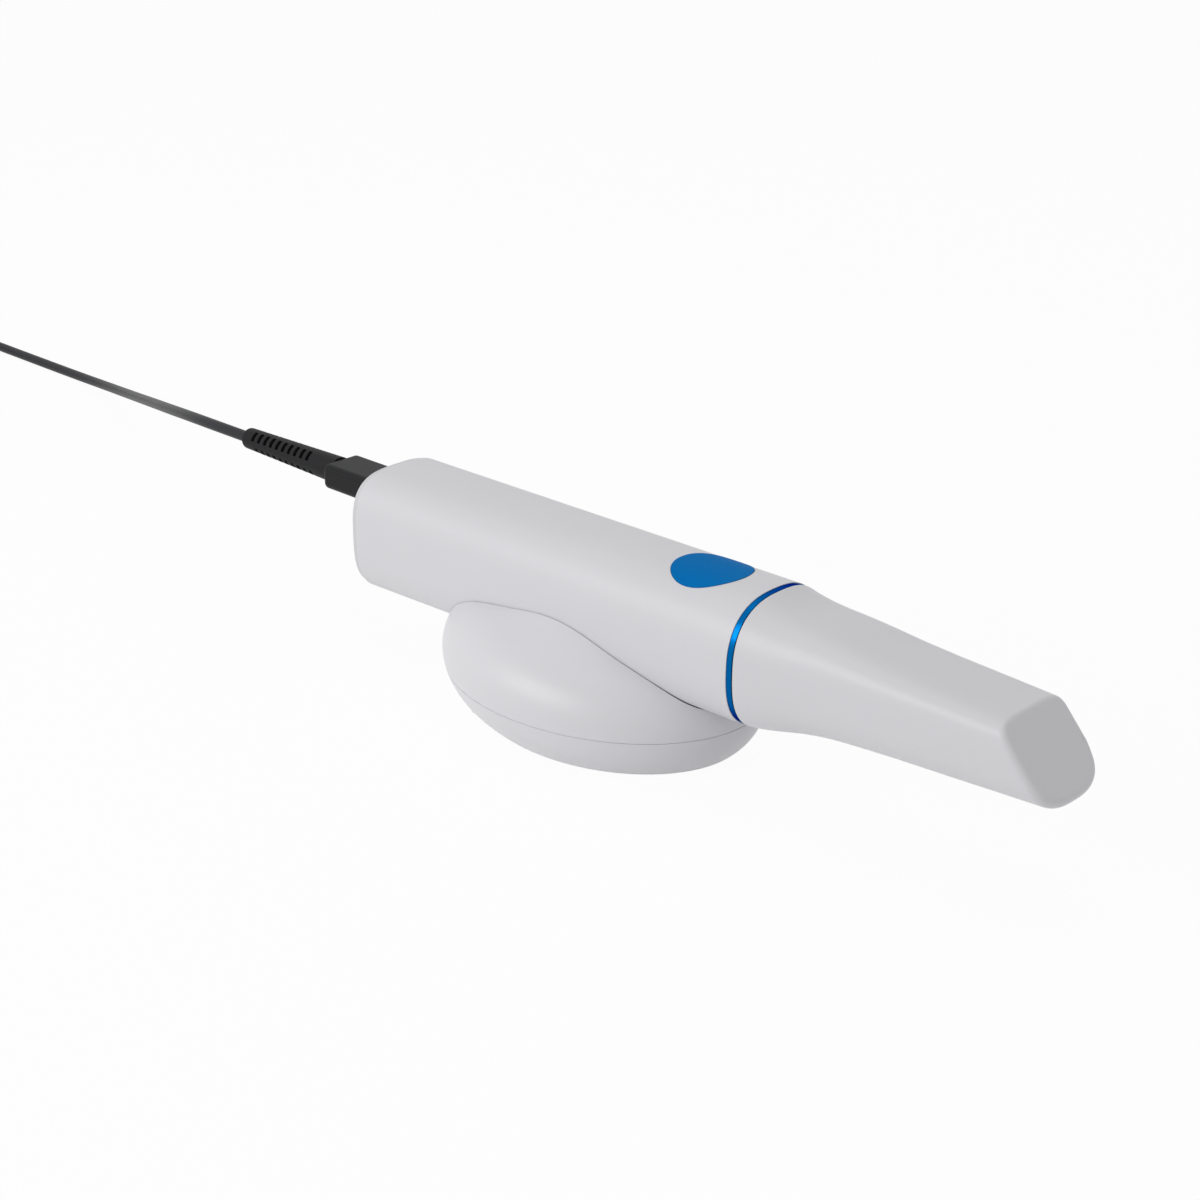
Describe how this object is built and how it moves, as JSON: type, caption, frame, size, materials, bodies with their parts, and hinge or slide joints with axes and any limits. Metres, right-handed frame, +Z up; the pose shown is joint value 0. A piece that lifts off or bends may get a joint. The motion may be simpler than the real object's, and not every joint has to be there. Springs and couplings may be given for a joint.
{
  "type": "intraoral scanner",
  "caption": "Hand-held dental scanner with a tapered mirror tip that pulls off, a blue scan button and a data cable, lying in the trough of a pebble-shaped desk cradle.",
  "frame": {"origin": "on the surface that the cradle stands on, under the middle of the handset's length", "axes": "+X along the handset from the cable end to the tip, +Z up"},
  "size_m": [0.7499, 0.1365, 0.0653],
  "materials": {
    "handle_white": "satin moulded",
    "cap_white": "satin moulded",
    "button_blue": "smooth moulded",
    "ring_blue": "blue anodised look, glossy",
    "tip_white": "satin, fit for the steriliser",
    "mirror_silver": "front-coated",
    "nose_grey": "fine moulded",
    "seal_rubber": "matte",
    "optic_glass": "polished",
    "bench_aluminium": "machined",
    "module_black": "black anodised",
    "board_green": "solder mask",
    "plated_steel": "bright plated",
    "screw_steel": "plated",
    "switch_black": "moulded",
    "connector_black": "fine moulded",
    "boot_rubber": "matte",
    "cord_black": "satin jacket",
    "strap_black": "woven hook-and-loop",
    "tongue_blue": "moulded",
    "cradle_white": "satin moulded",
    "pad_rubber": "matte non-slip",
    "weight_steel": "plain bright steel"
  },
  "bodies": {
    "scanner": {"handle_housing": "handle_white", "rear_cap": "cap_white", "trim_ring": "ring_blue", "nose": "nose_grey", "nose_seal": "seal_rubber", "nose_window": "optic_glass", "optical_bench": "bench_aluminium", "camera_module": "module_black", "camera_lens": "optic_glass", "projector_module": "module_black", "projector_lens": "optic_glass", "sensor_board": "board_green", "led_heat_sink": "bench_aluminium", "main_board": "board_green", "processor_can": "plated_steel", "board_screws": "screw_steel", "data_socket": "plated_steel", "switch_board": "board_green", "tact_switch": "switch_black", "cable_connector": "connector_black", "connector_plug": "plated_steel", "strain_relief": "boot_rubber", "cable": "cord_black", "cable_tail": "cord_black", "cable_coil": "cord_black", "coil_tie": "strap_black", "far_plug_body": "connector_black", "far_plug_shell": "plated_steel", "far_plug_tongue": "tongue_blue", "cradle_shell": "cradle_white", "cradle_pad": "pad_rubber", "cradle_base": "cradle_white", "cradle_screws": "screw_steel", "cradle_weight": "weight_steel"},
    "button": {"button": "button_blue", "switch_plunger": "switch_black"},
    "tip": {"tip_shell": "tip_white", "tip_mirror": "mirror_silver"}
  },
  "joints": [
    {"name": "tip_slide", "type": "slide", "parent": "scanner", "child": "tip", "axis": [1, 0, 0], "range_m": [0, 0.07]},
    {"name": "button_press", "type": "slide", "parent": "scanner", "child": "button", "axis": [0, 0, -1], "range_m": [0, 0.0006], "stiffness_N_per_m": 4000}
  ]
}
